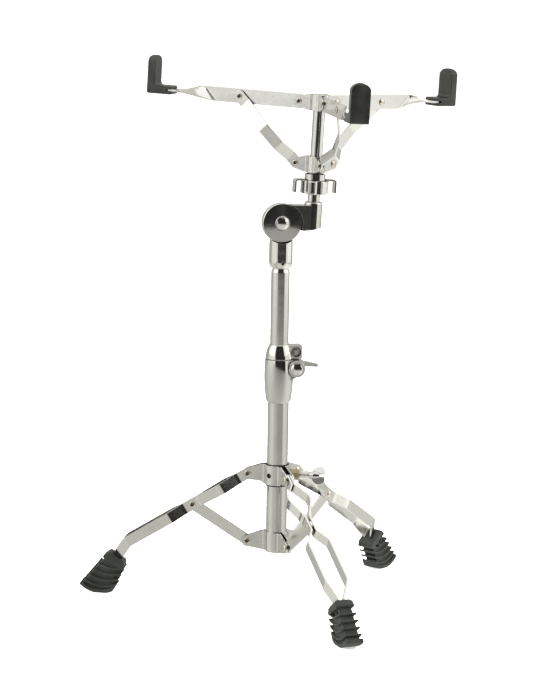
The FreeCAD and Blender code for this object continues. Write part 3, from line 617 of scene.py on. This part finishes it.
def rivets(node, shank, *places):
    """The rivets of one CAD piece: each place is a point on a pivot and its direction from dome to tail."""
    reach, crown, rim, sides = 14 * mm, 0.38, 1.1 * mm, 41
    point, way = places[0]
    near = [v.co - point for v in nodes[node].data.vertices if (v.co - point).length < reach]
    heights = [v.dot(way) for v in near]
    head = max((v - way * v.dot(way)).length for v in near)
    outline = rivet_outline(head, shank, min(heights) + crown * head, max(heights) - rim)
    mesh = bpy.data.meshes.new(node + "_turned")
    mesh.from_pydata([p for p, w in places], [], [])
    ways = mesh.attributes.new("way", "FLOAT_VECTOR", "POINT")
    for i, (p, w) in enumerate(places):
        ways.data[i].vector = w
    piece = new_piece(node + "_turned", mesh)
    group, sizes = rivet_group("rivet_" + node, outline)
    run_group(piece, group, Sides=sides, Material=finishes[slot_of[node]], **sizes)
    seat(piece, body_of(node), slot_of[node], node)


def pivot(joint, turn=0.0):
    """A joint's place and its rivet's direction, dome to tail, turned by degrees about the mast."""
    swing = Matrix.Rotation(math.radians(turn), 3, "Z")
    return swing @ Vector(joints[joint]["pos_m"]), swing @ -Vector(joints[joint]["axis"])


def thread_group():
    """Geometry nodes that wind a ridge round a shank."""
    steps_a_turn, ridge_sides = 28, 4
    group, net, given = shaper("thread", {
        "Radius": "Float", "Length": "Float", "Turns": "Float", "Ridge": "Float",
        "Place": "Vector", "Stance": "Rotation", "Material": "Material",
    })
    path = net.node(
        "GeometryNodeCurveSpiral", {},
        {"Resolution": steps_a_turn, "Rotations": given["Turns"], "Start Radius": given["Radius"],
         "End Radius": given["Radius"], "Height": given["Length"]},
    )
    ridge = net.node(
        "GeometryNodeCurvePrimitiveCircle", {}, {"Resolution": ridge_sides, "Radius": given["Ridge"]}
    )
    wound = net.node(
        "GeometryNodeCurveToMesh", {}, {"Curve": path, "Profile Curve": ridge, "Fill Caps": True}
    )
    set_there = net.node(
        "GeometryNodeTransform", {},
        {"Geometry": wound, "Translation": given["Place"], "Rotation": given["Stance"]},
    )
    finish_group(net, set_there, given["Material"])
    return group


def thread(name, node, radius, start, way, length, pitch):
    """A thread on the bare end of a bolt."""
    ridge = 0.42 * pitch
    piece = new_piece(name, bpy.data.meshes.new(name))
    run_group(
        piece, thread_group(), Radius=radius, Length=length, Turns=length / pitch, Ridge=ridge,
        Place=start, Stance=way.to_track_quat("Z", "Y").to_euler(), Material=finishes[slot_of[node]],
    )
    seat(piece, body_of(node), slot_of[node])


edge_strip, strip_rows = 0.45 * mm, 2
edge_gripper, gripper_rows = 0.8 * mm, 3
foot_grain, foot_rounds = 0.5 * mm, 6
tripod_shank, basket_shank = 2.9 * mm, 2.5 * mm
crisp_ramp = 4.5 * mm, 32, 1.4 * mm
gentle_ramp = 6.5 * mm, 22, 5 * mm
hip_flat, hip_loop = 9.7 * mm, 38 * mm
thigh_loop, knee_flat_above = 39 * mm, 4.8 * mm
knee_flat_below, shin_loop = 7.2 * mm, 33 * mm
solid_twist, seen_twist, twist_slant = (118.5 * mm, 143.5 * mm), (108.5 * mm, 157.5 * mm), 1.0
rod_way = Vector(joints["basket_collar_slide"]["axis"])
third = 120
for n in (1, 2, 3):
    hip, across = pivot("collar_rise", third * (n - 1))
    knee = pivot("leg_%d_knee" % n)[0]
    thigh = (knee - hip).length
    down = (
        (hip_flat, hip_loop, *crisp_ramp),
        (thigh + knee_flat_below, thigh + shin_loop, *crisp_ramp),
    )
    up = ((knee_flat_above, thigh - thigh_loop, *gentle_ramp),)
    bends = (hip, knee, across, down), (knee, hip, across, up)
    eased("leg_%d_strip_a" % n, edge_strip, strip_rows, bends)
    eased("leg_%d_strip_b" % n, edge_strip, strip_rows, bends)
    eased("leg_%d_strut" % n, edge_strip, strip_rows)
    eased("brace_%d" % n, edge_strip, strip_rows)
    drawn_out("arm_%d" % n, "arm_%d_swing" % n, rod_way, solid_twist, seen_twist, twist_slant)
    eased("gripper_%d" % n, edge_gripper, gripper_rows)
    moulded("leg_%d_foot" % n, foot_grain, foot_rounds)
    rivets("leg_%d_knee_rivet" % n, tripod_shank, pivot("leg_%d_knee" % n))
    low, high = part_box("brace_rivet_%d" % n)
    brace_top = (Vector(low) + Vector(high)) / 2
    rivets("brace_rivet_%d" % n, basket_shank, (brace_top, pivot("arm_%d_swing" % n)[1]))
rivets("upper_collar_rivets", tripod_shank, *(pivot("collar_rise", third * i) for i in range(3)))
rivets("lower_collar_rivets", tripod_shank, *(pivot(j) for j in ("leg_fold", "strut_2_fold", "strut_3_fold")))
rivets("hub_rivets", basket_shank, *(pivot("arm_%d_swing" % n) for n in (1, 2, 3)))
rivets("basket_collar_rivets", basket_shank, *(pivot("brace_%d_swing" % n) for n in (1, 2, 3)))

bolt_radius, bolt_lead, bolt_length, bolt_pitch = 2.8 * mm, 2.8 * mm, 11.4 * mm, 1.0 * mm
bolt_way = Vector(joints["collar_wing_bolt_turn"]["axis"])
bolt_start = Vector(joints["collar_wing_bolt_turn"]["pos_m"]) - bolt_lead * bolt_way
thread("wing_bolt_thread", "collar_wing_bolt", bolt_radius, bolt_start, bolt_way, bolt_length, bolt_pitch)


# Stage

def add_floor():
    """Plain pale floor. Chrome looks through it to the studio below."""
    half = 30.0
    corners = [(-half, -half, 0), (half, -half, 0), (half, half, 0), (-half, half, 0)]
    mesh = bpy.data.meshes.new("floor")
    mesh.from_pydata(corners, [], [(0, 1, 2, 3)])
    floor = new_piece("floor", mesh)
    material, net, shader, coords = surface("pale_floor")
    tone = net.noise(coords, scale=0.6, detail=2.0, rough=0.5)
    feed(net, shader, "Base Color", net.mix(tone, rgb(0.90, 0.90, 0.89), rgb(0.93, 0.93, 0.925)))
    shader.inputs["Roughness"].default_value = 0.9
    shader.inputs["Specular IOR Level"].default_value = 0.0
    shader.inputs["Emission Color"].default_value = rgb(1.0, 1.0, 1.0)
    shader.inputs["Emission Strength"].default_value = 0.5
    mesh.materials.append(material)
    floor.visible_glossy = False


def add_studio():
    """Surrounding studio: dark room in front, white walls at the sides and overhead, pale sweep below.

    Directions are in degrees from the front, right positive. Heights are those of a unit direction.
    """
    green, blue = 0.995, 0.93
    side_soft, bottom_soft, top_soft = 0.01, 0.004, 0.003
    floor_top, sweep_top = (-0.44, -0.28), (-0.161, -0.151)
    wall_top, ceiling = (0.10, 0.17), (0.70, 0.90)
    overhead, backdrop = rgb(1.25, 1.25, 1.22), rgb(0.97, 0.97, 0.97)
    world = bpy.data.worlds.new("studio")
    scene.world = world
    world.use_nodes = True
    net = Net(world.node_tree)
    x, y, z = net.split(net.node("ShaderNodeTexCoord", out="Generated"))
    turn = x.math("ARCTAN2", y * -1.0) / (2 * math.pi) + 0.5

    def part_of_turn(degrees):
        return degrees / 360 + 0.5

    def ring(*stops):
        """Brightness round the horizon: pairs of a direction and a brightness."""
        tones = [(part_of_turn(way), rgb(v, v * green, v * blue)) for way, v in stops]
        return net.node("ShaderNodeValToRGB", {"stops": tones}, {"Fac": turn})

    def patch(left, right, bottom, top):
        """One inside a patch of the walls between two directions and two heights, with soft edges."""
        left, right = part_of_turn(left), part_of_turn(right)
        right_of_left = turn.step(left - side_soft, left + side_soft)
        left_of_right = turn.step(right + side_soft, right - side_soft)
        over_bottom = z.step(bottom - bottom_soft, bottom + bottom_soft)
        under_top = z.step(top + top_soft, top - top_soft)
        return right_of_left * left_of_right * over_bottom * under_top

    walls = ring(
        (-180, 0.6), (-150, 0.5), (-118, 0.5), (-104, 1.0), (-58, 1.15), (-47, 1.0), (-37, 0.03),
        (9.5, 0.03), (11.0, 0.07), (12.5, 0.03), (40, 0.02), (48, 1.25), (60, 1.02), (82, 1.02),
        (92, 1.5), (104, 1.6), (113, 0.45), (150, 0.5), (180, 0.6),
    )
    upper = ring(
        (-180, 0.7), (-120, 0.6), (-108, 1.7), (-52, 1.7), (-42, 0.04), (33, 0.03), (38, 1.12),
        (46, 1.2), (54, 1.6), (106, 1.7), (118, 0.6), (180, 0.7),
    )
    sweep = ring(
        (-180, 0.62), (-150, 0.56), (-122, 0.6), (-100, 0.86), (-68, 0.88), (-56, 0.68), (-24, 0.64),
        (-14, 0.5), (40, 0.48), (50, 0.9), (76, 0.9), (96, 0.76), (116, 0.55), (150, 0.56), (180, 0.62),
    )
    near_floor = ring(
        (-180, 0.85), (-100, 0.85), (-82, 0.66), (-55, 0.66), (-40, 0.85), (0, 0.85), (38, 0.95),
        (50, 1.3), (110, 1.3), (125, 0.9), (180, 0.85),
    )
    patches = (
        ((-60, -42, -0.128, -0.055), (0.42, 0.42, 0.41)),
        ((-60, -42, -0.051, -0.030), (1.3, 1.3, 1.28)),
        ((62, 84, -0.1235, -0.100), (0.8, 0.8, 0.78)),
        ((62, 84, -0.150, -0.1235), (1.4, 1.4, 1.38)),
    )
    sides = net.mix(z.step(*wall_top), walls, upper)
    for place, tone in patches:
        sides = net.mix(patch(*place), sides, rgb(*tone))
    low = net.mix(z.step(*sweep_top), sweep, sides)
    near = net.mix(z.step(*floor_top), near_floor, low)
    over = net.mix(z.step(*ceiling), near, overhead)
    seen = net.node("ShaderNodeLightPath", out="Is Camera Ray")
    back = world.node_tree.nodes["Background"]
    net.tree.links.new(net.mix(seen, over, backdrop).socket, back.inputs["Color"])


def add_light(name, size, power, place, aim):
    """A soft box of light, its power in watts, that chrome doesn't show."""
    data = bpy.data.lights.new(name, "AREA")
    data.shape = "RECTANGLE"
    data.size, data.size_y = size
    data.energy = power
    light = bpy.data.objects.new(name, data)
    light.location = place
    light.rotation_euler = (Vector(aim) - Vector(place)).to_track_quat("-Z", "Y").to_euler()
    light.visible_glossy = False
    scene.collection.objects.link(light)


def add_camera():
    """The photograph's view: its place, aim, slight roll and long lens."""
    place = Vector((-0.6497, -3.2632, 0.8923))
    aim = Vector((-0.0107, 0.0021, 0.3058))
    roll = math.radians(0.92)
    data = bpy.data.cameras.new("camera")
    data.sensor_fit = "AUTO"
    data.sensor_width = 36.0
    data.lens = 146.1
    camera = bpy.data.objects.new("camera", data)
    look = (aim - place).to_track_quat("-Z", "Y").to_matrix().to_4x4()
    camera.matrix_world = Matrix.Translation(place) @ look @ Matrix.Rotation(roll, 4, "Z")
    scene.collection.objects.link(camera)
    scene.camera = camera


add_floor()
add_studio()
add_light("left_softbox", size=(2.0, 1.6), power=165.0, place=(-2.7, 0.0, 1.5), aim=(0, 0, 0.3))
add_light("right_softbox", size=(1.6, 1.8), power=155.0, place=(2.7, 0.0, 1.4), aim=(0, 0, 0.3))
add_light("top_softbox", size=(3.0, 3.0), power=35.0, place=(0.0, 0.3, 3.0), aim=(0, 0, 0))
add_camera()
scene.view_settings.view_transform = "Standard"
